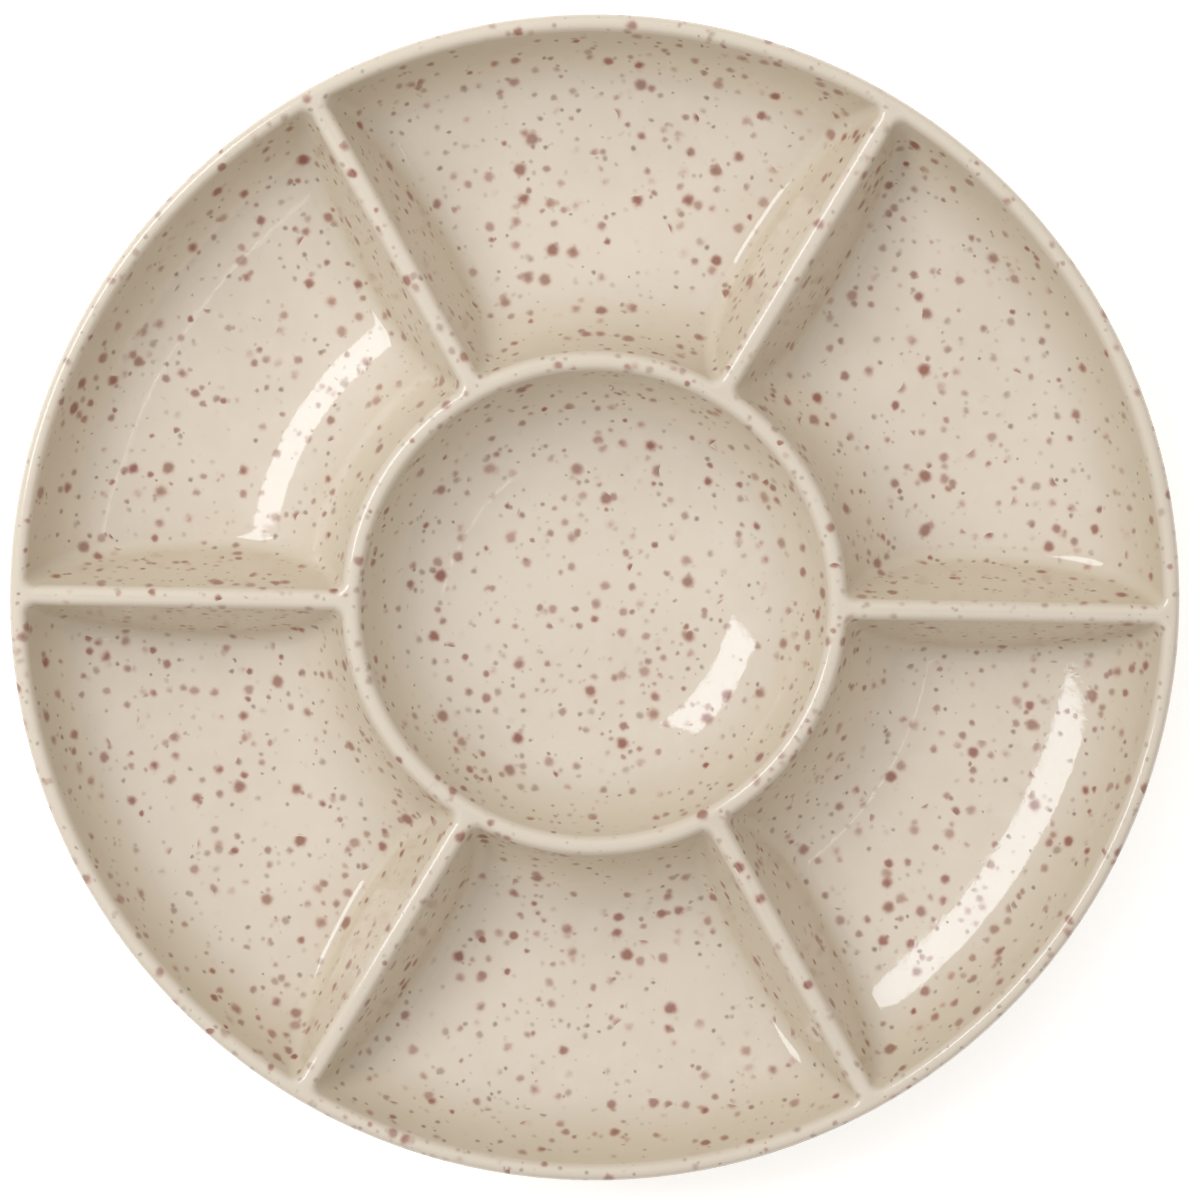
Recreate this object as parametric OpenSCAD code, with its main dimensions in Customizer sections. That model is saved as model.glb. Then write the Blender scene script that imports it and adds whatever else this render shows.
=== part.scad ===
// Chip and dip server: a round stoneware dish with six outer wells, six dividers and a centre bowl.
// Every turned outline is drawn as [radius, height] and revolved about Z. The foot stands on z = 0.
// The dish is fired in one piece, so its named sub-parts meet face to face and nothing moves.

/* [Dish] */
// Outside diameter over the rim
outside_d = 300; // [292:1:308]
// Height from the table to the top of the rim
total_h = 37; // [36:0.5:42]
// Thickness of the fired wall
wall = 4.5; // [4.2:0.1:4.8]
// Lean of every standing wall from upright, in degrees
draft = 20; // [19:0.5:22]

/* [Dividers and centre ring] */
// Width of the centre ring between its two edges
ring_w = 4.8; // [4.4:0.1:6]
// Drop of the centre ring's top below the rim
ring_drop = 0.8; // [0.6:0.1:1.2]
// Drop of the divider tops below the centre ring
divider_drop = 0.3; // [0.2:0.1:0.6]
// Width of the flat along the top of a divider
divider_flat = 1.6; // [1.4:0.1:3]
// Rounding of the top edges
crown_r = 2; // [1.6:0.1:2.2]
// Depth below the rim at which rim, dividers and ring stand on the walls of the wells
frame_h = 10; // [9.5:0.5:11]

/* [Outer wells] */
// Straight stretch of wall under the rim
rim_straight = 3.8; // [3:0.1:5]
// Radius of the bend from the rim wall into the floor
rim_bend_r = 28; // [26:0.5:30]
// Slope at which the bend meets the floor, in degrees
floor_edge_slope = 27.7; // [25:0.1:30]
// Radius of the floor's sweep from its lowest line out to the rim bend
floor_outer_r = 70; // [66:1:74]
// Radius of the floor's sweep from its lowest line in to the centre ring
floor_inner_r = 34.5; // [33.5:0.1:35.5]

/* [Centre bowl] */
// Straight stretch of wall under the bowl's edge
bowl_straight = 1.6; // [1:0.1:2.5]
// Radius of the bend at the bowl's side
bowl_side_r = 33; // [31:0.5:35]
// Slope at which the side bend meets the bowl's lower sweep, in degrees
bowl_side_slope = 30; // [26:1:34]
// Radius of the bowl's lower sweep
bowl_low_r = 46; // [44:1:50]
// Radius of the shallow dish at the middle of the bowl
bowl_middle_r = 300; // [200:10:400]

/* [Underside] */
// Radius of the foot ring's centre line
foot_r = 110; // [108:1:114]
// Width of the foot ring's standing face and its rounded edges
foot_w = 5; // [4:0.5:6]
// Rounding of the foot's lower edges
foot_edge_r = 1.2; // [0.8:0.1:1.6]
// Radius at which the hollow channel under each divider ends
channel_end_r = 104; // [96:1:104]
// Height over which neighbouring wells touch above that channel
channel_roof = 2; // [1.5:0.5:4]

/* [Hidden] */
well_count = 6;
$fn = 96;
glaze = [0.85, 0.79, 0.68];
glaze_deep = [0.80, 0.74, 0.61];
bare_clay = [0.78, 0.68, 0.55];
pitch = 360 / well_count;
far = outside_d;
steep = 90 - draft;
ring_z = total_h - ring_drop;
divider_z = ring_z - divider_drop;
frame_z = total_h - frame_h;
sky_z = 2 * total_h;
sweep_step = 6;
edge_step = 15;
// Where a rounded top edge meets the straight wall: this far below the top and this far out from the arc.
edge_drop = crown_r * (1 - cos(steep));
edge_out = crown_r * sin(steep);

// A point on an arc about c, where a surface would have this slope: 0 is level, and it rises outward.
function at_slope(c, r, slope) = c + r * [sin(slope), -cos(slope)];
// The points of an arc between two slopes, at most a step of slope apart.
function arc(c, r, from, to, step = sweep_step) =
    let (count = ceil(abs(to - from) / step))
    [for (i = [0:count]) at_slope(c, r, from + (to - from) * i / count)];
// A point along a straight wall from p, by a change of height. Side 1 leans outward, side -1 inward.
function up_wall(p, side, rise) = p + [side * rise * tan(draft), rise];
// A rounded top, from a right edge to a left edge, that runs smoothly into straight walls at both.
function crown(left, right, top) = concat(
    arc([right - edge_out, top - crown_r], crown_r, 180 - steep, 180, edge_step),
    arc([left + edge_out, top - crown_r], crown_r, 180, 180 + steep, edge_step)
);

// The lip is a full round on the top of the rim wall.
lip_r = wall / 2;
lip_c = [outside_d / 2 - lip_r, total_h - lip_r];

// The centres of a well's three arcs, worked inward from the lip so that each meets the next smoothly.
bend_end = at_slope(lip_c, lip_r, steep + 180) - rim_straight * [sin(draft), cos(draft)];
bend_c = at_slope(bend_end, rim_bend_r, steep + 180);
outer_c = at_slope(bend_c, floor_outer_r - rim_bend_r, floor_edge_slope + 180);
inner_c = outer_c - [0, floor_outer_r - floor_inner_r];

// The ring's outer edge lies on the wells' inner wall, and the bowl's edge lies a ring's width inward.
inner_end = at_slope(inner_c, floor_inner_r, -steep);
ring_edge = up_wall(inner_end, -1, ring_z - edge_drop - inner_end[1]);
bowl_edge = ring_edge - [ring_w, 0];

// The centres of the bowl's three arcs, worked inward from its edge.
side_end = bowl_edge - bowl_straight * [sin(draft), cos(draft)];
side_c = at_slope(side_end, bowl_side_r, steep + 180);
low_c = at_slope(side_c, bowl_low_r - bowl_side_r, bowl_side_slope + 180);
middle_slope = asin(low_c[0] / (bowl_middle_r - bowl_low_r));
middle_c = at_slope(low_c, bowl_middle_r - bowl_low_r, middle_slope + 180);

module below(top) {
    intersection() {
        children();
        square([far, top]);
    }
}

module above_frame() {
    difference() {
        children();
        square([far, frame_z]);
    }
}

// Everything above a well's curve. Thick is 0 for the inside face and wall for the underside.
module well_space(thick, top) {
    bend = arc(bend_c, rim_bend_r + thick, steep, floor_edge_slope);
    outer_floor = arc(outer_c, floor_outer_r + thick, floor_edge_slope, 0);
    inner_floor = arc(inner_c, floor_inner_r + thick, 0, -steep);
    ring_side = inner_floor[len(inner_floor) - 1];
    below(top)
        polygon(concat(
            [up_wall(bend[0], 1, sky_z - bend[0][1])],
            bend,
            outer_floor,
            inner_floor,
            [up_wall(ring_side, -1, sky_z - ring_side[1])]
        ));
}

// Everything above the bowl's curve, in the same way.
module bowl_space(thick, top) {
    side = arc(side_c, bowl_side_r + thick, steep, bowl_side_slope);
    low = arc(low_c, bowl_low_r + thick, bowl_side_slope, middle_slope);
    middle = arc(middle_c, bowl_middle_r + thick, middle_slope, 0);
    below(top)
        polygon(concat([up_wall(side[0], 1, sky_z - side[0][1])], side, low, middle, [[0, sky_z]]));
}

// The rounded lip, the straight wall under it and the upper end of the bend.
module rim_section() {
    above_frame()
        polygon(concat(
            arc(lip_c, lip_r, steep, steep + 180, edge_step),
            arc(bend_c, rim_bend_r, steep, floor_edge_slope),
            arc(bend_c, rim_bend_r + wall, floor_edge_slope, steep)
        ));
}

// The ring's crown, between the top of the bowl's side and the top of the wells' inner floor.
module ring_section() {
    above_frame()
        polygon(concat(
            crown(bowl_edge[0], ring_edge[0], ring_z),
            arc(side_c, bowl_side_r, steep, bowl_side_slope),
            arc(inner_c, floor_inner_r, -bowl_side_slope, -steep)
        ));
}

module foot_section() {
    reach = foot_w / 2 - foot_edge_r;
    difference() {
        polygon(concat(
            arc([foot_r - reach, foot_edge_r], foot_edge_r, -90, 0, edge_step),
            arc([foot_r + reach, foot_edge_r], foot_edge_r, 0, 90, edge_step),
            [[foot_r + foot_w / 2, frame_z], [foot_r - foot_w / 2, frame_z]]
        ));
        well_space(wall, sky_z);
    }
}

// Half the width of a divider between its walls at a height, less the given wall on each side.
function half_width(z, thick) =
    divider_flat / 2 + edge_out + (divider_z - edge_drop - z) * tan(draft) - thick / cos(draft);

// The section across a divider's straight walls.
module wall_section(low, high, thick) {
    polygon([
        [-half_width(low, thick), low],
        [half_width(low, thick), low],
        [half_width(high, thick), high],
        [-half_width(high, thick), high]
    ]);
}

// The section across a divider's top.
module crown_section() {
    edge = half_width(divider_z - edge_drop, 0);
    foot = half_width(frame_z, 0);
    polygon(concat([[-foot, frame_z], [foot, frame_z]], crown(-edge, edge, divider_z)));
}

// Takes a section across the X axis and runs it out along X.
module run_out(length) {
    rotate([90, 0, 90]) linear_extrude(length) children();
}

// Turns a section through one part of the circle, centred on +X.
module turn(angle) {
    rotate([0, 0, -angle / 2]) rotate_extrude(angle = angle) children();
}

// A well is floor, rim wall, ring wall and the nearer half of both divider walls, cut off at the frame.
module well(k) {
    rotate([0, 0, (k - 0.5) * pitch])
        difference() {
            turn(pitch) well_space(wall, frame_z);
            difference() {
                turn(2 * pitch) well_space(0, total_h);
                for (side = [-1, 1])
                    rotate([0, 0, side * pitch / 2])
                        run_out(far) wall_section(0, total_h, 0);
            }
            for (side = [-1, 1])
                rotate([0, 0, side * pitch / 2])
                    run_out(channel_end_r) wall_section(-1, frame_z - channel_roof, wall);
        }
}

// What lies between the centre ring and the rim, above the frame height.
module divider_space() {
    difference() {
        above_frame() well_space(wall / 2, divider_z + divider_drop / 2);
        ring_section();
        rim_section();
    }
}

// The solid top of the wall between two wells.
module divider(k) {
    rotate([0, 0, (k - 1) * pitch])
        intersection() {
            turn(pitch) divider_space();
            run_out(far) crown_section();
        }
}

module rim() {
    color(glaze) rotate_extrude() rim_section();
}

module centre_ring() {
    color(glaze) rotate_extrude() ring_section();
}

module centre_bowl() {
    color(glaze_deep)
        rotate_extrude()
        difference() {
            bowl_space(wall, frame_z);
            bowl_space(0, total_h);
        }
}

module foot_ring() {
    color(bare_clay) rotate_extrude() foot_section();
}

module well_1() { color(glaze_deep) well(1); }
module well_2() { color(glaze_deep) well(2); }
module well_3() { color(glaze_deep) well(3); }
module well_4() { color(glaze_deep) well(4); }
module well_5() { color(glaze_deep) well(5); }
module well_6() { color(glaze_deep) well(6); }
module divider_1() { color(glaze) divider(1); }
module divider_2() { color(glaze) divider(2); }
module divider_3() { color(glaze) divider(3); }
module divider_4() { color(glaze) divider(4); }
module divider_5() { color(glaze) divider(5); }
module divider_6() { color(glaze) divider(6); }

rim();
centre_ring();
centre_bowl();
foot_ring();
well_1();
well_2();
well_3();
well_4();
well_5();
well_6();
divider_1();
divider_2();
divider_3();
divider_4();
divider_5();
divider_6();
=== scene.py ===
"""A stoneware chip and dip server: one speckled, glazed shell, built from a formula for its faces.

The shell is described by how far a point lies above its upper face or below its underside. Both
faces are solved for height over one plan grid, and the grid is cut into the pieces that stand for
the CAD nodes.
"""
import math

import bpy
import numpy as np
from mathutils import Matrix, Vector


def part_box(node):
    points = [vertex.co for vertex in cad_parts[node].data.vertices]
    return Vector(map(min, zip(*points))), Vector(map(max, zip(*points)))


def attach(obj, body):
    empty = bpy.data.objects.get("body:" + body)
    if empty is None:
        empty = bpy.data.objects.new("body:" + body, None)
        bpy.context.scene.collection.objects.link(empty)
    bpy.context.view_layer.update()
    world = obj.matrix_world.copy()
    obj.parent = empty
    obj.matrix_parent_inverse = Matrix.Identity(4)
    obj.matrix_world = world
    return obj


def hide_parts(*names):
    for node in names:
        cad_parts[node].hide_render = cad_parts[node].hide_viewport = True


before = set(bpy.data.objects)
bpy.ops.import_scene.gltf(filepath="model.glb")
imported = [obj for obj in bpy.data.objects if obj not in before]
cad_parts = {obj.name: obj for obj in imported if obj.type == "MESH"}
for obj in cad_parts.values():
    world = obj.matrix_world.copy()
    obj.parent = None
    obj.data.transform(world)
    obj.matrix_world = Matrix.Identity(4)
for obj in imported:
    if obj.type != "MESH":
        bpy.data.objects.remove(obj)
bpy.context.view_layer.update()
MM = 0.001

# ---------------------------------------------------------------- sizes, in metres and radians
WELLS = sum(name.startswith("well_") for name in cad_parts)
PITCH = 2 * math.pi / WELLS
RIM_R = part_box("rim")[1][0]
TOP_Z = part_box("rim")[1][2]
FRAME_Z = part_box("rim")[0][2]
CROWN_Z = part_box("centre_ring")[1][2]
FOOT_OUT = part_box("foot_ring")[1][0]
WALL = 4.5 * MM
DRAFT = math.radians(20)
STEEP = math.radians(70)
LIP_R = WALL / 2
CROWN_R = 2.6 * MM
CROWN_R_CAD = 2 * MM
DIVIDER_HALF = 2.68 * MM
DIVIDER_DROP = 0.3 * MM
RIM_STRAIGHT = 3.8 * MM
BEND_R = 28 * MM
OUTER_R = 70 * MM
INNER_R = 34.5 * MM
OUTER_SLOPE = math.radians(27.7)
RING_W = 4.8 * MM
BOWL_STRAIGHT = 1.6 * MM
SIDE_R = 33 * MM
LOW_R = 46 * MM
MIDDLE_R = 300 * MM
SIDE_SLOPE = math.radians(30)
FLOOR_FILLET = 5 * MM
CORNER_FILLET = 3 * MM
FILLET_SLOPES = (0.5, 1.1)
FOOT_W = 5 * MM
FOOT_EDGE = 1.2 * MM
FOOT_FLARE = 1.6 * MM
CHANNEL_END = 104 * MM
CHANNEL_ROOF = FRAME_Z - 2 * MM
GROOVE_FILLET = 2 * MM
SINK = 0.4 * MM
RISE = 10 * MM

# How finely the shell is worked out: plan distances from an edge where the grid is finer, steps for
# normals and bends, and counts.
HUB_R = 3 * MM
RING_MARGIN = 0.6 * MM
LIP_MARGIN = 0.5 * MM
DIVIDER_TOP = 3.2 * MM
DIVIDER_FOOT = 17 * MM
LIP_STEPS = 9
HALVINGS = 26
TINY = 1e-9
NORMAL_STEP = 0.02 * MM
BEND_STEP = 0.5 * MM
FOOT_STEPS = 6
FOOT_SIDES = 240

# ---------------------------------------------------------------- colours: linear r, g, b, alpha
TONE_A = (0.725, 0.63, 0.525, 1)
TONE_B = (0.69, 0.595, 0.49, 1)
TONE_C = (0.745, 0.66, 0.565, 1)
# Tone for steep walls: partly the glaze's own olive tone there, partly painted shade that darkens
# the walls
TONE_STEEP_GLAZE_AND_SHADE = (0.615, 0.515, 0.37, 1)
TONE_POOL = (0.66, 0.565, 0.435, 1)
TONE_EDGE = (0.735, 0.635, 0.52, 1)
TONE_HALO = (0.58, 0.36, 0.275, 1)
TONE_FLECK = (0.32, 0.25, 0.175, 1)
TONE_GRAIN = (0.22, 0.145, 0.10, 1)
TONE_BROWN = (0.28, 0.145, 0.105, 1)
TONE_PATCH = (0.285, 0.108, 0.078, 1)
CLAY_A = (0.52, 0.40, 0.27, 1)
CLAY_B = (0.45, 0.33, 0.22, 1)
CLAY_WORN = (0.60, 0.50, 0.38, 1)

# ---------------------------------------------------------------- glaze
WOBBLE_SCALE = 480.0
WOBBLE = 1.1 * MM
DRIFT_SCALE = 22.0
CLOUD_SCALE = 160.0
GATHER_SCALE = 70.0
RIPPLE_SCALE = 260.0
RIPPLE_DEPTH = 0.06 * MM
SPOT_DEPTH = 0.03 * MM
SPOT_ROUGHNESS = 0.12
GLAZE_ROUGHNESS = (0.05, 0.09)
SMALLEST_SPOT = 0.5
HALO_REACH = 1.3
SPREAD_OF_SPOTS = 0.85
SPOTS_ON_EDGES = 0.8
LAYER_STEP = 1.7

# Iron spots, small to large: how crowded, largest radius, share of places filled, softness of the
# edge, strength of the halo, the two tones to choose between and the strength of each.
SPOT_LAYERS = [
    {
        "scale": 310.0,
        "size": 1.08 * MM,
        "share": 0.95,
        "soft": 0.8,
        "halo": 0.0,
        "tones": (TONE_FLECK, TONE_GRAIN),
        "strengths": (0.3, 0.8),
    },
    {
        "scale": 210.0,
        "size": 1.5 * MM,
        "share": 0.9,
        "soft": 0.7,
        "halo": 0.3,
        "tones": (TONE_BROWN, TONE_GRAIN),
        "strengths": (0.75, 0.45),
    },
    {
        "scale": 170.0,
        "size": 1.85 * MM,
        "share": 0.8,
        "soft": 0.65,
        "halo": 0.5,
        "tones": (TONE_PATCH, TONE_BROWN),
        "strengths": (0.85, 0.5),
    },
    {
        "scale": 140.0,
        "size": 2.2 * MM,
        "share": 0.55,
        "soft": 0.6,
        "halo": 0.6,
        "tones": (TONE_PATCH, TONE_BROWN),
        "strengths": (0.95, 0.75),
    },
]

# ---------------------------------------------------------------- bare clay
GRIT_SCALE = 1400.0
GRIT_DEPTH = 0.2 * MM
CLAY_DRIFT_SCALE = 60.0
CLAY_ROUGHNESS = (0.62, 0.9)
WORN_HEIGHT = 0.9 * MM
FLECK_SCALE = 260.0
FLECK_SIZE = 0.8 * MM
FLECK_SHARE = 0.6
FLECK_STRENGTH = 0.7

# ---------------------------------------------------------------- studio
FLOOR_HALF = 12.0
FLOOR_GLOW = 0.4
SKY_LOW = 0.2
SKY_HIGH = 0.64
WARM_WHITE = (1.0, 0.99, 0.97)
COOL_WHITE = (0.86, 0.94, 1.0)
PANELS = [
    {
        "name": "strip",
        "azimuth": 152,
        "zenith": 39,
        "distance": 1.1,
        "size": (0.6, 0.4),
        "power": 4.3,
        "colour": COOL_WHITE,
        "mirrored": True,
    },
    {
        "name": "thin",
        "azimuth": 325,
        "zenith": 38,
        "distance": 1.1,
        "size": (0.7, 0.012),
        "power": 0.12,
        "colour": WARM_WHITE,
        "mirrored": True,
    },
    {
        "name": "overhead",
        "azimuth": 90,
        "zenith": 32,
        "distance": 1.6,
        "size": (1.3, 1.1),
        "power": 5.0,
        "colour": WARM_WHITE,
        "mirrored": False,
    },
    {
        "name": "side",
        "azimuth": 175,
        "zenith": 45,
        "distance": 1.6,
        "size": (1.3, 1.1),
        "power": 2.5,
        "colour": WARM_WHITE,
        "mirrored": False,
    },
]
LENS = 101.2
CAMERA_LEAN = 4.3
CAMERA_ROLL = 1.0
CAMERA_DISTANCE = 0.9
CAMERA_AIM = (0.0, -0.0014, 0.0)


# ---------------------------------------------------------------- the turned faces
def at_slope(centre, radius, slope):
    """The point of an arc, in radius and height, where the face has this slope."""
    return (centre[0] + radius * math.sin(slope), centre[1] - radius * math.cos(slope))


LIP = (RIM_R - LIP_R, TOP_Z - LIP_R)
LIP_INSIDE = at_slope(LIP, LIP_R, STEEP + math.pi)
BEND_END = (
    LIP_INSIDE[0] - RIM_STRAIGHT * math.sin(DRAFT),
    LIP_INSIDE[1] - RIM_STRAIGHT * math.cos(DRAFT),
)
BEND = at_slope(BEND_END, BEND_R, STEEP + math.pi)
OUTER = at_slope(BEND, OUTER_R - BEND_R, OUTER_SLOPE + math.pi)
INNER = (OUTER[0], OUTER[1] - OUTER_R + INNER_R)
INNER_END = at_slope(INNER, INNER_R, -STEEP)
EDGE_DROP = CROWN_R_CAD * (1 - math.sin(DRAFT))
EDGE_Z = CROWN_Z - EDGE_DROP
RING_OUT = INNER_END[0] - (EDGE_Z - INNER_END[1]) * math.tan(DRAFT)
RING_IN = RING_OUT - RING_W
RING_MID = (RING_OUT + RING_IN) / 2
DIVIDER_EDGE_Z = EDGE_Z - DIVIDER_DROP
SIDE_END = (
    RING_IN - BOWL_STRAIGHT * math.sin(DRAFT),
    EDGE_Z - BOWL_STRAIGHT * math.cos(DRAFT),
)
SIDE = at_slope(SIDE_END, SIDE_R, STEEP + math.pi)
LOW = at_slope(SIDE, LOW_R - SIDE_R, SIDE_SLOPE + math.pi)
MIDDLE_SLOPE = math.asin(LOW[0] / (MIDDLE_R - LOW_R))
MIDDLE = at_slope(LOW, MIDDLE_R - LOW_R, MIDDLE_SLOPE + math.pi)


def radius_at(centre, radius, z, side):
    """Where an arc reaches a height, on its outer side (1) or its inner side (-1)."""
    return centre[0] + side * math.sqrt(radius**2 - (centre[1] - z) ** 2)


BOWL_CUT = radius_at(SIDE, SIDE_R, FRAME_Z, 1)
RING_CUT = radius_at(INNER, INNER_R, FRAME_Z, -1)
RIM_CUT = radius_at(BEND, BEND_R, FRAME_Z, 1)
DIVIDER_CUT = DIVIDER_HALF + (DIVIDER_EDGE_Z - FRAME_Z) * math.tan(DRAFT)


def slope_about(centre, r, z):
    return np.arctan2(r - centre[0], centre[1] - z)


def chain_face(r, z, arcs, thick):
    """Distance above a chain of arcs that rise outward from one another, and the slope there.

    Each arc is (centre, radius, lowest slope, highest slope), from the inside out."""
    centre, radius, low, high = arcs[0]
    slope = np.clip(slope_about(centre, r, z), low, high)
    x, y, size = centre[0] + 0 * r, centre[1] + 0 * r, radius + 0 * r
    for inner, outer in zip(arcs, arcs[1:]):
        past = slope_about(inner[0], r, z) > inner[3]
        past &= slope >= inner[3] - TINY
        turned = np.clip(slope_about(outer[0], r, z), outer[2], outer[3])
        slope = np.where(past, turned, slope)
        x = np.where(past, outer[0][0], x)
        y = np.where(past, outer[0][1], y)
        size = np.where(past, outer[1], size)
    gap = size + thick - (r - x) * np.sin(slope) + (z - y) * np.cos(slope)
    return gap, slope


WELL_ARCS = [
    (INNER, INNER_R, -STEEP, 0.0),
    (OUTER, OUTER_R, 0.0, OUTER_SLOPE),
    (BEND, BEND_R, OUTER_SLOPE, STEEP),
]
BOWL_ARCS = [
    (MIDDLE, MIDDLE_R, 0.0, MIDDLE_SLOPE),
    (LOW, LOW_R, MIDDLE_SLOPE, SIDE_SLOPE),
    (SIDE, SIDE_R, SIDE_SLOPE, STEEP),
]


def divider_face(d, z):
    """Distance out from the leaning wall of a divider whose axis is d away."""
    return (d - DIVIDER_HALF - (DIVIDER_EDGE_Z - z) * math.tan(DRAFT)) * math.cos(DRAFT)


def fillet(a, b, lean, size):
    """Distance inside two faces that meet in a fillet. Lean is the cosine between their normals."""
    u = size - a
    v = size - b
    corner = (u > lean * v) & (v > lean * u)
    apart = np.maximum(1 - lean * lean, TINY)
    reach = np.sqrt(np.maximum(u * u + v * v - 2 * u * v * lean, 0) / apart)
    return np.where(corner, size - reach, np.minimum(a, b))


def rounded(a, b, lean, size):
    """Distance outside two faces that meet in a rounded edge."""
    return -fillet(-a, -b, lean, size)


def smooth(low, high, value):
    t = np.clip((value - low) / (high - low), 0, 1)
    return t * t * (3 - 2 * t)


def divider_offset(x, y):
    """Distance from the nearest divider's axis."""
    turn = np.arctan2(y, x)
    turn = turn - PITCH * np.round(turn / PITCH)
    return np.hypot(x, y) * np.abs(np.sin(turn))


def crown_height(r):
    """The dividers and the ring are level, and the dividers rise a little to meet the rim."""
    return CROWN_Z + (TOP_Z - CROWN_Z) * smooth(LIP[0] - RISE, LIP[0], r)


def above_top(x, y, z):
    """How far a point lies above the upper face."""
    r = np.hypot(x, y)
    d = divider_offset(x, y)
    bowl, _ = chain_face(r, z, BOWL_ARCS, 0.0)
    floor, slope = chain_face(r, z, WELL_ARCS, 0.0)
    lean = math.sin(DRAFT) * np.cos(slope)
    lean = lean - math.cos(DRAFT) * np.sin(slope) * d / np.maximum(r, RING_MID)
    size = FLOOR_FILLET + (CORNER_FILLET - FLOOR_FILLET) * smooth(*FILLET_SLOPES, np.abs(slope))
    well = fillet(floor, divider_face(d, z), lean, size)
    outside, _ = chain_face(r, z, WELL_ARCS, WALL)
    hollow = np.where(r < RING_MID, bowl, well)
    hollow = np.where(r > LIP[0], -outside, hollow)
    lean = np.where(r > LIP[0], -math.sin(DRAFT), math.sin(DRAFT))
    size = CROWN_R + (LIP_R - CROWN_R) * smooth(LIP[0] - RISE, LIP[0], r)
    return rounded(hollow, z - crown_height(r), lean, size)


def below_base(x, y, z):
    """How far a point lies below the underside, the foot ring left out."""
    r = np.hypot(x, y)
    d = divider_offset(x, y)
    well, well_slope = chain_face(r, z, WELL_ARCS, WALL)
    bowl, bowl_slope = chain_face(r, z, BOWL_ARCS, WALL)
    side = -divider_face(d, z) - WALL
    end = (CHANNEL_END - r - z * math.tan(DRAFT)) * math.cos(DRAFT)
    channel = fillet(side, CHANNEL_ROOF - z, math.sin(DRAFT), GROOVE_FILLET)
    channel = fillet(channel, end, math.sin(DRAFT), 2 * GROOVE_FILLET)
    lean = math.sin(DRAFT) * np.cos(well_slope)
    under = rounded(-well, channel, lean, GROOVE_FILLET)
    under = fillet(under, -bowl, np.cos(well_slope - bowl_slope), GROOVE_FILLET)
    lip = rounded(-well, z - TOP_Z, -math.sin(DRAFT), LIP_R)
    return np.where(r > LIP[0], lip, under)


def solve(field, x, y, low, high):
    """The height between two others where a field passes zero, by halving. It is over 0 at high."""
    for _ in range(HALVINGS):
        middle = (low + high) / 2
        over = field(x, y, middle) > 0
        high = np.where(over, middle, high)
        low = np.where(over, low, middle)
    return (low + high) / 2


def normal_and_bend(field, x, y, z):
    """The outward normal, and how the face bends: over 0 on an edge, under 0 in a corner."""
    parts = []
    for dx, dy, dz in np.eye(3) * NORMAL_STEP:
        parts.append(field(x + dx, y + dy, z + dz) - field(x - dx, y - dy, z - dz))
    normal = np.stack(parts, axis=-1)
    normal = normal / np.maximum(np.linalg.norm(normal, axis=-1, keepdims=True), TINY)
    bend = -6 * field(x, y, z)
    for dx, dy, dz in np.eye(3) * BEND_STEP:
        bend = bend + field(x + dx, y + dy, z + dz) + field(x - dx, y - dy, z - dz)
    return normal, bend / BEND_STEP**2


# ---------------------------------------------------------------- the plan grid
def spread(*stops):
    """Values from the first stop on: each (value, count) adds count even steps up to value."""
    values = [stops[0]]
    for value, count in stops[1:]:
        start = values[-1]
        values += [start + (value - start) * i / count for i in range(1, count + 1)]
    return np.array(values)


rows = spread(
    0.0,
    (HUB_R, 2),
    (BOWL_CUT, 30),
    (RING_IN - RING_MARGIN, 6),
    (RING_OUT + RING_MARGIN, 18),
    (RING_CUT, 4),
    (RIM_CUT, 48),
    (LIP_INSIDE[0] - LIP_MARGIN, 6),
    (LIP[0], LIP_STEPS),
)
lip_turn = np.radians(spread(0.0, (90.0, LIP_STEPS)))[1:]
rows = np.concatenate([rows, LIP[0] + LIP_R * np.sin(lip_turn)])
beside = spread(0.0, (DIVIDER_TOP, 8), (DIVIDER_CUT, 4), (DIVIDER_FOOT, 10))
between = spread(0.0, (1.0, 10))[1:]
spoke = np.maximum(rows, BOWL_CUT)[:, None]
near = np.arcsin(beside[None, :] / spoke)
wide = near[:, -1:] + (PITCH / 2 - near[:, -1:]) * between[None, :]
half = np.concatenate([near, wide], axis=1)
middle_column = half.shape[1] - 1
sector = np.concatenate([-half[:, :0:-1], half[:, :-1]], axis=1)
turns = np.concatenate([sector + k * PITCH for k in range(WELLS)], axis=1)
grid_x = rows[:, None] * np.cos(turns)
grid_y = rows[:, None] * np.sin(turns)
past_lip = np.broadcast_to((rows >= LIP[0])[:, None], grid_x.shape)

top_z = solve(
    above_top,
    grid_x,
    grid_y,
    np.where(past_lip, LIP[1], 0.0),
    np.full_like(grid_x, TOP_Z + WALL),
)
base_z = -solve(
    lambda x, y, z: below_base(x, y, -z),
    grid_x,
    grid_y,
    np.where(past_lip, -LIP[1], -top_z),
    np.full_like(grid_x, WALL),
)
top_z[-1] = LIP[1]
base_z[-1] = LIP[1]
top_normal, top_bend = normal_and_bend(above_top, grid_x, grid_y, top_z)
base_normal, base_bend = normal_and_bend(below_base, grid_x, grid_y, base_z)

# ---------------------------------------------------------------- the grid's cells, piece by piece
cell_rows = len(rows) - 1
columns = grid_x.shape[1]
per_sector = columns // WELLS
bowl_row = int(np.argmin(np.abs(rows - BOWL_CUT)))
ring_row = int(np.argmin(np.abs(rows - RING_CUT)))
rim_row = int(np.argmin(np.abs(rows - RIM_CUT)))
cut_column = int(np.argmin(np.abs(beside - DIVIDER_CUT)))


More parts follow.
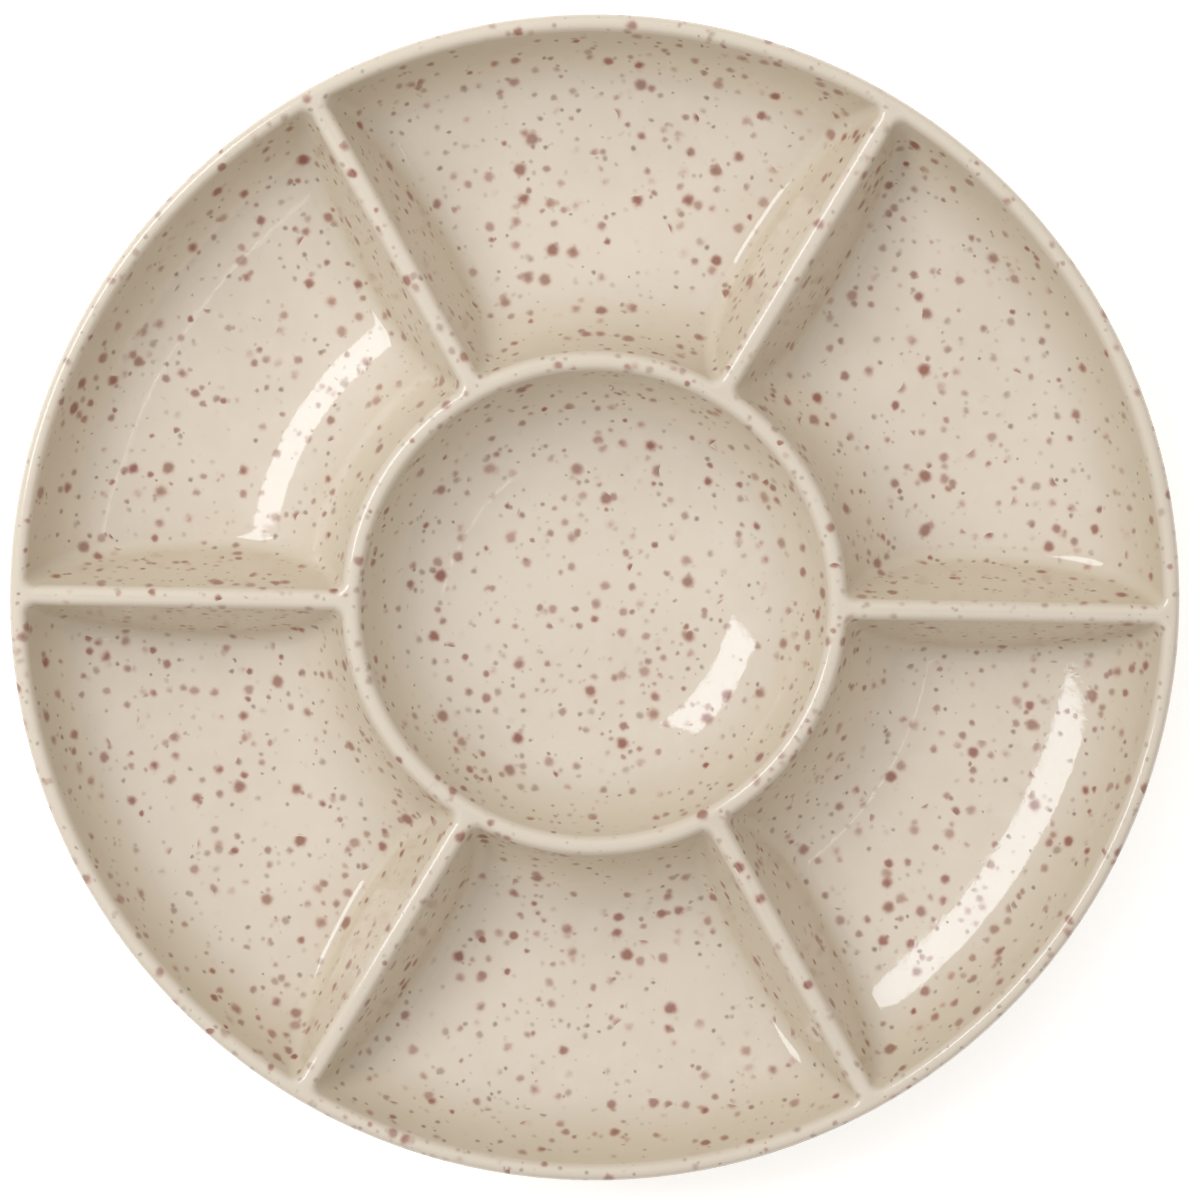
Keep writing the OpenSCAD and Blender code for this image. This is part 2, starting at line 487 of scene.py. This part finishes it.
def piece_cells():
    """The name of every piece of the shell, with a mask of its cells."""
    row = np.arange(cell_rows)[:, None]
    column = np.arange(columns)[None, :]
    local = column % per_sector - middle_column
    sector_of = column // per_sector
    found = {
        "centre_bowl": (row < bowl_row) & (column >= 0),
        "centre_ring": (row >= bowl_row) & (row < ring_row) & (column >= 0),
        "rim": (row >= rim_row) & (column >= 0),
    }
    outer = (row >= ring_row) & (row < rim_row)
    on_divider = (local >= -cut_column) & (local < cut_column)
    for k in range(WELLS):
        found[f"divider_{k + 1}"] = outer & on_divider & (sector_of == k)
        after = (sector_of == k) & (local >= cut_column)
        before = (sector_of == (k + 1) % WELLS) & (local < -cut_column)
        found[f"well_{k + 1}"] = outer & (after | before)
    return found


vertex_xyz = np.concatenate(
    [
        np.stack([grid_x, grid_y, top_z], axis=-1).reshape(-1, 3),
        np.stack([grid_x, grid_y, base_z], axis=-1).reshape(-1, 3),
    ]
)
vertex_normal = np.concatenate([top_normal.reshape(-1, 3), base_normal.reshape(-1, 3)])
vertex_bend = np.concatenate([top_bend.ravel(), base_bend.ravel()])
layer = grid_x.size


def vertex(i, j, base):
    """The number of a grid point. The centre is one point, and both faces share the lip's edge."""
    column = 0 if i == 0 else j % columns
    return i * columns + column + (layer if base and i < cell_rows else 0)


def shell_faces(cells):
    """Top faces, base faces and the cut sides of one piece, as lists of vertex numbers."""
    skin = []
    sides = []
    for i, j in zip(*np.nonzero(cells)):
        corners = [(i, j), (i + 1, j), (i + 1, j + 1), (i, j + 1)]
        if i == 0:
            corners = corners[:3]
        skin.append([vertex(a, b, False) for a, b in corners])
        skin.append([vertex(a, b, True) for a, b in reversed(corners)])
        links = [
            (i > 0 and not cells[i - 1, j], (i, j + 1), (i, j)),
            (not cells[i, j - 1], (i, j), (i + 1, j)),
            (i + 1 < cell_rows and not cells[i + 1, j], (i + 1, j), (i + 1, j + 1)),
            (not cells[i, (j + 1) % columns], (i + 1, j + 1), (i, j + 1)),
        ]
        for cut, start, end in links:
            if cut:
                side = [vertex(*start, True), vertex(*end, True)]
                side += [vertex(*end, False), vertex(*start, False)]
                sides.append(list(dict.fromkeys(side)))
    return skin, sides


def add_piece(name, xyz, faces, normals_of, bends, flat_from):
    """A closed mesh. It has its own normals on the skin, and flat ones from face flat_from on."""
    used = sorted({v for face in faces for v in face})
    number = {v: n for n, v in enumerate(used)}
    mesh = bpy.data.meshes.new(name)
    mesh.from_pydata(xyz[used].tolist(), [], [[number[v] for v in face] for face in faces])
    mesh.polygons.foreach_set("use_smooth", [True] * len(faces))
    mesh.update()
    corner_normals = []
    for n, face in enumerate(faces):
        if n < flat_from:
            corner_normals += [normals_of[v] for v in face]
        else:
            corner_normals += [mesh.polygons[n].normal[:]] * len(face)
    mesh.normals_split_custom_set(corner_normals)
    for label, value in (("edge", bends[used]), ("pool", -bends[used])):
        attribute = mesh.attributes.new(label, "FLOAT", "POINT")
        attribute.data.foreach_set("value", np.clip(value * CROWN_R, 0, 1).astype(np.float32))
    piece = bpy.data.objects.new(name + "_skin", mesh)
    bpy.context.scene.collection.objects.link(piece)
    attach(piece, "root")
    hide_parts(name)
    return piece


def foot_outline():
    """The foot ring's section, as radius and height: a flare out of the underside on both sides."""
    inner = FOOT_OUT - FOOT_W
    reach = math.radians(90) / FOOT_STEPS

    def underside(r):
        r = np.array([r])
        return float(OUTER[1] - np.sqrt((OUTER_R + WALL) ** 2 - (r - OUTER[0]) ** 2)[0])

    points = []
    for side, edge in ((-1, inner), (1, FOOT_OUT)):
        half = []
        start = edge + side * FOOT_FLARE
        half.append((start, underside(start) + SINK))
        for n in range(FOOT_STEPS + 1):
            turn = n * reach
            r = start - side * FOOT_FLARE * math.sin(turn)
            z = underside(r) - FOOT_FLARE * (1 - math.cos(turn))
            half.append((r, z))
        for n in range(FOOT_STEPS + 1):
            turn = n * reach
            r = edge - side * FOOT_EDGE * (1 - math.cos(turn))
            half.append((r, FOOT_EDGE * (1 - math.sin(turn))))
        points += half if side < 0 else half[::-1]
    return np.array(points)


def add_foot():
    """The unglazed ring that the dish stands on."""
    outline = foot_outline()
    count = len(outline)
    turn = np.arange(FOOT_SIDES) * 2 * math.pi / FOOT_SIDES
    x = outline[None, :, 0] * np.cos(turn)[:, None]
    y = outline[None, :, 0] * np.sin(turn)[:, None]
    z = np.broadcast_to(outline[None, :, 1], x.shape)
    xyz = np.stack([x, y, z], axis=-1).reshape(-1, 3)
    ahead = np.roll(outline, -1, axis=0) - outline
    flow = ahead / np.linalg.norm(ahead, axis=1, keepdims=True)
    flow = flow + np.roll(flow, 1, axis=0)
    out = np.stack([flow[:, 1], -flow[:, 0]], axis=1)
    out = out / np.linalg.norm(out, axis=1, keepdims=True)
    normal = np.stack(
        [
            out[None, :, 0] * np.cos(turn)[:, None],
            out[None, :, 0] * np.sin(turn)[:, None],
            np.broadcast_to(out[None, :, 1], x.shape),
        ],
        axis=-1,
    ).reshape(-1, 3)
    faces = []
    for i in range(FOOT_SIDES):
        for j in range(count):
            a = i * count
            b = (i + 1) % FOOT_SIDES * count
            faces.append([a + j, b + j, b + (j + 1) % count, a + (j + 1) % count])
    return xyz, faces, normal


# ---------------------------------------------------------------- the pieces
shell = {}
for label, cells in piece_cells().items():
    skin, sides = shell_faces(cells)
    shell[label] = add_piece(
        label, vertex_xyz, skin + sides, vertex_normal, vertex_bend, len(skin)
    )
foot_xyz, foot_faces, foot_normal = add_foot()
foot = add_piece(
    "foot_ring",
    foot_xyz,
    foot_faces,
    foot_normal,
    np.zeros(len(foot_xyz)),
    len(foot_faces),
)


# ---------------------------------------------------------------- materials
def put(tree, kind, settings, inputs):
    """Adds a node. An input is a plain value, or another node's output to link from."""
    node = tree.nodes.new(kind)
    for name, value in settings.items():
        setattr(node, name, value)
    for name, value in inputs.items():
        if isinstance(value, bpy.types.NodeSocket):
            tree.links.new(value, node.inputs[name])
        else:
            node.inputs[name].default_value = value
    return node


def calc(tree, operation, a, b):
    return put(tree, "ShaderNodeMath", {"operation": operation}, {0: a, 1: b}).outputs[0]


def fade(tree, value, start, end, low, high):
    """Runs smoothly from low to high as value goes from start to end."""
    inputs = {"Value": value, "From Min": start, "From Max": end, "To Min": low, "To Max": high}
    return put(tree, "ShaderNodeMapRange", {"interpolation_type": "SMOOTHSTEP"}, inputs).outputs[0]


def blend_colour(tree, amount, under, over):
    inputs = {"Factor": amount, "A": under, "B": over}
    node = tree.nodes.new("ShaderNodeMix")
    node.data_type = "RGBA"
    for socket in node.inputs:
        if socket.name == "Factor" and socket.type == "VALUE":
            target = socket
        elif socket.name in ("A", "B") and socket.type == "RGBA":
            target = socket
        else:
            continue
        value = inputs[socket.name]
        if isinstance(value, bpy.types.NodeSocket):
            tree.links.new(value, target)
        else:
            target.default_value = value
    return next(s for s in node.outputs if s.type == "RGBA")


def noise(tree, where, scale, detail=2.0, roughness=0.5):
    inputs = {"Vector": where, "Scale": scale, "Detail": detail, "Roughness": roughness}
    return put(tree, "ShaderNodeTexNoise", {}, inputs)


def attribute(tree, name):
    return put(tree, "ShaderNodeAttribute", {"attribute_name": name}, {}).outputs["Fac"]


def spots(tree, where, likely, scale, size, soft):
    """Round iron spots: scattered balls that the surface cuts through. Size is the largest radius.

    Returns the spot's strength, the strength of a wider halo and the spot's own random number."""
    inputs = {"Vector": where, "Scale": scale, "Randomness": SPREAD_OF_SPOTS}
    cell = put(tree, "ShaderNodeTexVoronoi", {"feature": "F1"}, inputs)
    chance = put(tree, "ShaderNodeSeparateColor", {}, {"Color": cell.outputs["Color"]})
    shown = calc(tree, "LESS_THAN", chance.outputs["Red"], likely)
    largest = size * scale
    radius = fade(tree, chance.outputs["Green"], 0.0, 1.0, SMALLEST_SPOT * largest, largest)
    core = calc(tree, "MULTIPLY", radius, 1.0 - soft)
    outer = calc(tree, "MULTIPLY", radius, HALO_REACH)
    spot = fade(tree, cell.outputs["Distance"], radius, core, 0.0, 1.0)
    halo = fade(tree, cell.outputs["Distance"], outer, core, 0.0, 1.0)
    spot = calc(tree, "MULTIPLY", spot, shown)
    halo = calc(tree, "MULTIPLY", halo, shown)
    return spot, halo, chance.outputs["Blue"]


def moved(tree, where, shift):
    return put(tree, "ShaderNodeVectorMath", {"operation": "ADD"}, {0: where, 1: shift}).outputs[0]


def new_tree(name):
    material = bpy.data.materials.new(name)
    material.use_nodes = True
    tree = material.node_tree
    tree.nodes.clear()
    return material, tree


def glaze_material():
    """Glossy oatmeal glaze over iron-flecked stoneware."""
    material, tree = new_tree("oatmeal_glaze")
    place = put(tree, "ShaderNodeTexCoord", {}, {}).outputs["Object"]
    wobble = noise(tree, place, WOBBLE_SCALE)
    shift = put(
        tree,
        "ShaderNodeVectorMath",
        {"operation": "SCALE"},
        {0: wobble.outputs["Color"], "Scale": WOBBLE},
    ).outputs[0]
    where = moved(tree, place, shift)
    edge = attribute(tree, "edge")
    pool = attribute(tree, "pool")
    up = put(
        tree,
        "ShaderNodeSeparateXYZ",
        {},
        {"Vector": put(tree, "ShaderNodeNewGeometry", {}, {}).outputs["Normal"]},
    ).outputs["Z"]
    # How steep the face is; steep walls get a darker olive colour that is partly glaze tone and
    # partly painted shade
    steep_glaze_and_shade = fade(tree, up, 0.95, 0.45, 0.0, 1.0)
    drift = noise(tree, place, DRIFT_SCALE, 3.0).outputs["Fac"]
    cloud = noise(tree, place, CLOUD_SCALE, 4.0).outputs["Fac"]
    body = blend_colour(tree, fade(tree, drift, 0.35, 0.65, 0.0, 1.0), TONE_A, TONE_B)
    body = blend_colour(tree, fade(tree, cloud, 0.4, 0.75, 0.0, 0.35), body, TONE_C)
    # Painted shade on steep walls, mixed with the glaze's own olive tone there
    body = blend_colour(tree, calc(tree, "MULTIPLY", steep_glaze_and_shade, 0.6), body, TONE_STEEP_GLAZE_AND_SHADE)
    body = blend_colour(tree, fade(tree, pool, 0.05, 0.6, 0.0, 0.45), body, TONE_POOL)
    body = blend_colour(tree, fade(tree, edge, 0.25, 0.95, 0.0, 0.6), body, TONE_EDGE)
    quiet = fade(tree, edge, 0.2, 0.9, 1.0, SPOTS_ON_EDGES)
    gather = noise(tree, place, GATHER_SCALE, 1.0).outputs["Fac"]
    iron = 0.0
    for number, grade in enumerate(SPOT_LAYERS):
        share = grade["share"]
        likely = fade(tree, gather, 0.32, 0.68, 0.5 * share, 1.5 * share)
        there = moved(tree, where, (LAYER_STEP * number, 0.0, 0.0))
        spot, halo, tone = spots(tree, there, likely, grade["scale"], grade["size"], grade["soft"])
        strength = fade(tree, tone, 0.0, 1.0, *grade["strengths"])
        spot = calc(tree, "MULTIPLY", calc(tree, "MULTIPLY", spot, strength), quiet)
        halo = calc(tree, "MULTIPLY", calc(tree, "MULTIPLY", halo, grade["halo"]), quiet)
        colour = blend_colour(tree, fade(tree, tone, 0.2, 0.8, 0.0, 1.0), *grade["tones"])
        body = blend_colour(tree, halo, body, TONE_HALO)
        body = blend_colour(tree, spot, body, colour)
        iron = calc(tree, "MAXIMUM", spot, iron)
    rough = fade(tree, cloud, 0.3, 0.7, *GLAZE_ROUGHNESS)
    rough = calc(tree, "ADD", rough, calc(tree, "MULTIPLY", iron, SPOT_ROUGHNESS))
    ripple = noise(tree, place, RIPPLE_SCALE, 3.0).outputs["Fac"]
    height = calc(tree, "MULTIPLY", ripple, RIPPLE_DEPTH)
    height = calc(tree, "SUBTRACT", height, calc(tree, "MULTIPLY", iron, SPOT_DEPTH))
    relief = {"Height": height, "Strength": 1.0, "Distance": 1.0}
    bump = put(tree, "ShaderNodeBump", {}, relief)
    surface = put(
        tree,
        "ShaderNodeBsdfPrincipled",
        {},
        {
            "Base Color": body,
            "Roughness": rough,
            "IOR": 1.5,
            "Coat Weight": 0.2,
            "Coat Roughness": 0.03,
            "Normal": bump.outputs[0],
        },
    )
    put(tree, "ShaderNodeOutputMaterial", {}, {"Surface": surface.outputs[0]})
    return material


def bare_material():
    """Unglazed stoneware, worn a little paler on the standing face."""
    material, tree = new_tree("bare_stoneware")
    place = put(tree, "ShaderNodeTexCoord", {}, {}).outputs["Object"]
    grit = noise(tree, place, GRIT_SCALE, 4.0, 0.7).outputs["Fac"]
    drift = noise(tree, place, CLAY_DRIFT_SCALE, 3.0).outputs["Fac"]
    high = put(tree, "ShaderNodeSeparateXYZ", {}, {"Vector": place}).outputs["Z"]
    body = blend_colour(tree, fade(tree, drift, 0.3, 0.7, 0.0, 1.0), CLAY_A, CLAY_B)
    body = blend_colour(tree, fade(tree, high, WORN_HEIGHT, 0.0, 0.0, 0.5), body, CLAY_WORN)
    fleck, _, _ = spots(tree, place, FLECK_SHARE, FLECK_SCALE, FLECK_SIZE, 0.5)
    body = blend_colour(tree, calc(tree, "MULTIPLY", fleck, FLECK_STRENGTH), body, TONE_GRAIN)
    rough = fade(tree, grit, 0.2, 0.8, *CLAY_ROUGHNESS)
    height = calc(tree, "MULTIPLY", grit, GRIT_DEPTH)
    relief = {"Height": height, "Strength": 1.0, "Distance": 1.0}
    bump = put(tree, "ShaderNodeBump", {}, relief)
    surface = put(
        tree,
        "ShaderNodeBsdfPrincipled",
        {},
        {"Base Color": body, "Roughness": rough, "IOR": 1.45, "Normal": bump.outputs[0]},
    )
    put(tree, "ShaderNodeOutputMaterial", {}, {"Surface": surface.outputs[0]})
    return material


glaze = glaze_material()
for piece in shell.values():
    piece.data.materials.append(glaze)
foot.data.materials.append(bare_material())


# ---------------------------------------------------------------- floor, light and camera
def add_floor():
    mesh = bpy.data.meshes.new("floor")
    corners = [(-1, -1), (1, -1), (1, 1), (-1, 1)]
    mesh.from_pydata([(x * FLOOR_HALF, y * FLOOR_HALF, 0) for x, y in corners], [], [(0, 1, 2, 3)])
    floor = bpy.data.objects.new("floor", mesh)
    bpy.context.scene.collection.objects.link(floor)
    material, tree = new_tree("white_floor")
    surface = put(
        tree,
        "ShaderNodeBsdfPrincipled",
        {},
        {
            "Base Color": (0.93, 0.93, 0.93, 1),
            "Roughness": 0.9,
            "Specular IOR Level": 0.0,
            "Emission Color": (1, 1, 1, 1),
            "Emission Strength": FLOOR_GLOW,
        },
    )
    put(tree, "ShaderNodeOutputMaterial", {}, {"Surface": surface.outputs[0]})
    mesh.materials.append(material)


def add_panel(name, azimuth, zenith, distance, size, power, colour, mirrored):
    """A soft box that faces the middle of the dish. Size is its width and its height."""
    light = bpy.data.lights.new(name, "AREA")
    light.shape = "RECTANGLE"
    light.size, light.size_y = size
    light.energy = power
    light.color = colour
    lamp = bpy.data.objects.new(name, light)
    bpy.context.scene.collection.objects.link(lamp)
    a, b = math.radians(azimuth), math.radians(zenith)
    away = Vector((math.cos(a) * math.sin(b), math.sin(a) * math.sin(b), math.cos(b)))
    lamp.location = away * distance
    lamp.rotation_euler = away.to_track_quat("Z", "Y").to_euler()
    lamp.visible_glossy = mirrored


def add_world():
    """A soft white studio, bright overhead and darker towards the horizon."""
    world = bpy.data.worlds.new("soft_studio")
    world.use_nodes = True
    tree = world.node_tree
    tree.nodes.clear()
    way = put(tree, "ShaderNodeTexCoord", {}, {}).outputs["Generated"]
    high = put(tree, "ShaderNodeSeparateXYZ", {}, {"Vector": way}).outputs["Z"]
    strength = fade(tree, high, 0.0, 0.75, SKY_LOW, SKY_HIGH)
    light = put(
        tree, "ShaderNodeBackground", {}, {"Color": (*WARM_WHITE, 1), "Strength": strength}
    )
    put(tree, "ShaderNodeOutputWorld", {}, {"Surface": light.outputs[0]})
    bpy.context.scene.world = world


def add_camera():
    data = bpy.data.cameras.new("camera")
    data.lens = LENS
    data.clip_end = 20
    camera = bpy.data.objects.new("camera", data)
    bpy.context.scene.collection.objects.link(camera)
    lean = math.radians(CAMERA_LEAN)
    away = Vector((0, math.sin(lean), math.cos(lean)))
    aim = Vector(CAMERA_AIM)
    right = Vector((1, 0, 0))
    turn = Matrix((right, away.cross(right), away)).transposed()
    turn = turn @ Matrix.Rotation(math.radians(CAMERA_ROLL), 3, "Z")
    camera.matrix_world = Matrix.Translation(aim + away * CAMERA_DISTANCE) @ turn.to_4x4()
    bpy.context.scene.camera = camera


add_floor()
add_world()
for panel in PANELS:
    add_panel(**panel)
add_camera()
bpy.context.scene.view_settings.view_transform = "Standard"
